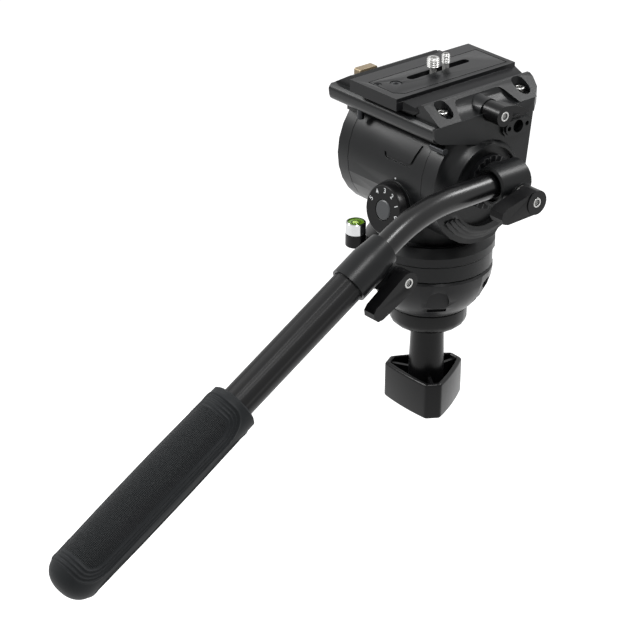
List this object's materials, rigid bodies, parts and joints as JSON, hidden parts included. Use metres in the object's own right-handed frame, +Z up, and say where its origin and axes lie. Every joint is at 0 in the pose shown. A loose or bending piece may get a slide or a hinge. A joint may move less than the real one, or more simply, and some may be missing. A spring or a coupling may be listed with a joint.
{
  "type": "fluid video head",
  "caption": "Tripod video head on a half-ball base, with a fluid tilt drum, counterbalance dial, sliding camera plate and telescopic pan bar.",
  "frame": {"origin": "centre of the half ball that sits in the tripod bowl", "axes": "+Z up along the pan axis, +Y the way the lens looks, +X along the tilt axis to the pan bar's side"},
  "size_m": [0.1751, 0.4649, 0.284],
  "materials": {
    "painted": "satin black paint on cast aluminium",
    "anodised": "black anodised",
    "gloss_tube": "gloss black paint on drawn aluminium",
    "grip_rubber": "matte",
    "steel": "machined",
    "blackened": "blackened",
    "chrome": "polished",
    "moulded": "satin",
    "vial": "clear fluid",
    "amber": "satin"
  },
  "bodies": {
    "ball_base": {"half_ball": "anodised", "base_ring": "painted", "bowl_stud": "steel", "pan_spindle": "steel"},
    "bowl_clamp": {"clamp_cup": "moulded"},
    "bowl_knob": {"bowl_knob": "moulded"},
    "pan_head": {"turret": "painted", "drum_casing": "painted", "tilt_drag_cartridge": "steel", "counterbalance_spring_pack": "steel", "tilt_axle": "steel", "level_cup": "moulded", "level_ring": "chrome", "level_vial": "vial"},
    "balance_dial": {"counterbalance_dial": "moulded", "dial_cap": "painted"},
    "pan_lock": {"pan_lock_lever": "moulded", "pan_lock_screw": "steel"},
    "tilt_lock": {"tilt_lock_lever": "moulded", "tilt_lock_screw": "steel"},
    "tilt_head": {"left_arm": "painted", "right_arm": "painted", "left_end_cap": "anodised", "arm_rosette": "anodised", "platform": "painted", "platform_screw_rear": "steel", "platform_screw_front": "steel", "stop_peg_left": "blackened", "stop_peg_right": "blackened"},
    "catch": {"catch_button": "amber"},
    "plate_lock": {"plate_lock_lever": "moulded", "plate_lock_screw": "steel"},
    "plate": {"camera_plate": "anodised", "plate_stop_screw": "blackened", "plate_index_screw": "blackened"},
    "screw_large": {"camera_screw_large": "steel"},
    "screw_small": {"camera_screw_small": "steel"},
    "pan_bar": {"bar_mount": "painted", "clamp_bolt": "steel", "clamp_washer": "steel", "bar_tube": "gloss_tube"},
    "bar_clamp": {"bar_clamp_lever": "moulded", "bar_clamp_screw": "steel"},
    "telescope": {"telescope_collar": "painted", "outer_tube": "gloss_tube", "hand_grip": "grip_rubber", "collar_bolt": "steel"},
    "collar_clamp": {"collar_lever": "moulded", "collar_lever_screw": "steel"}
  },
  "joints": [
    {"name": "pan", "type": "hinge", "parent": "ball_base", "child": "pan_head", "pos_m": [0, 0, 0.012], "axis": [0, 0, 1], "continuous": true},
    {"name": "tilt", "type": "hinge", "parent": "pan_head", "child": "tilt_head", "pos_m": [0, 0, 0.0813], "axis": [1, 0, 0], "range_deg": [-70, 30]},
    {"name": "clamp_travel", "type": "slide", "parent": "ball_base", "child": "bowl_clamp", "axis": [0, 0, -1], "range_m": [0, 0.00525]},
    {"name": "knob_turn", "type": "hinge", "parent": "bowl_clamp", "child": "bowl_knob", "pos_m": [0, 0, -0.1], "axis": [0, 0, -1], "range_deg": [0, 1080]},
    {"name": "dial_turn", "type": "hinge", "parent": "pan_head", "child": "balance_dial", "pos_m": [0.0137, -0.0617, 0.06], "axis": [0, -0.9857, 0.1685], "range_deg": [-108, 72]},
    {"name": "pan_lock_turn", "type": "hinge", "parent": "pan_head", "child": "pan_lock", "pos_m": [-0.0522, 0.014, 0.0183], "axis": [-1, 0, 0], "range_deg": [0, 80]},
    {"name": "tilt_lock_turn", "type": "hinge", "parent": "pan_head", "child": "tilt_lock", "pos_m": [-0.018, 0.0465, 0.0293], "axis": [0, 1, 0], "range_deg": [0, 80]},
    {"name": "catch_press", "type": "slide", "parent": "tilt_head", "child": "catch", "axis": [0, 0, -1], "range_m": [0, 0.002], "stiffness_N_per_m": 400, "springref_m": -0.001},
    {"name": "plate_lock_turn", "type": "hinge", "parent": "tilt_head", "child": "plate_lock", "pos_m": [0.0563, 0, 0.1358], "axis": [1, 0, 0], "range_deg": [0, 80]},
    {"name": "plate_slide", "type": "slide", "parent": "tilt_head", "child": "plate", "axis": [0, 1, 0], "range_m": [-0.03, 0.03]},
    {"name": "screw_large_slide", "type": "slide", "parent": "plate", "child": "screw_large", "axis": [0, 1, 0], "range_m": [-0.018, 0]},
    {"name": "screw_small_slide", "type": "slide", "parent": "plate", "child": "screw_small", "axis": [0, 1, 0], "range_m": [0, 0.018]},
    {"name": "bar_turn", "type": "hinge", "parent": "tilt_head", "child": "pan_bar", "pos_m": [0.0626, 0, 0.0813], "axis": [1, 0, 0], "range_deg": [-60, 60]},
    {"name": "bar_clamp_turn", "type": "hinge", "parent": "pan_bar", "child": "bar_clamp", "pos_m": [0.0951, 0, 0.0813], "axis": [1, 0, 0], "range_deg": [-60, 60]},
    {"name": "telescope_slide", "type": "slide", "parent": "pan_bar", "child": "telescope", "axis": [0, -0.8625, -0.506], "range_m": [0, 0.08]},
    {"name": "collar_lever_turn", "type": "hinge", "parent": "telescope", "child": "collar_clamp", "pos_m": [0.078, -0.1148, 0.04976], "axis": [1, 0, 0], "range_deg": [0, 60]}
  ],
  "couplings": [
    {"joint": "knob_turn", "follows": "clamp_travel", "rad_per_m": 3590.4}
  ]
}
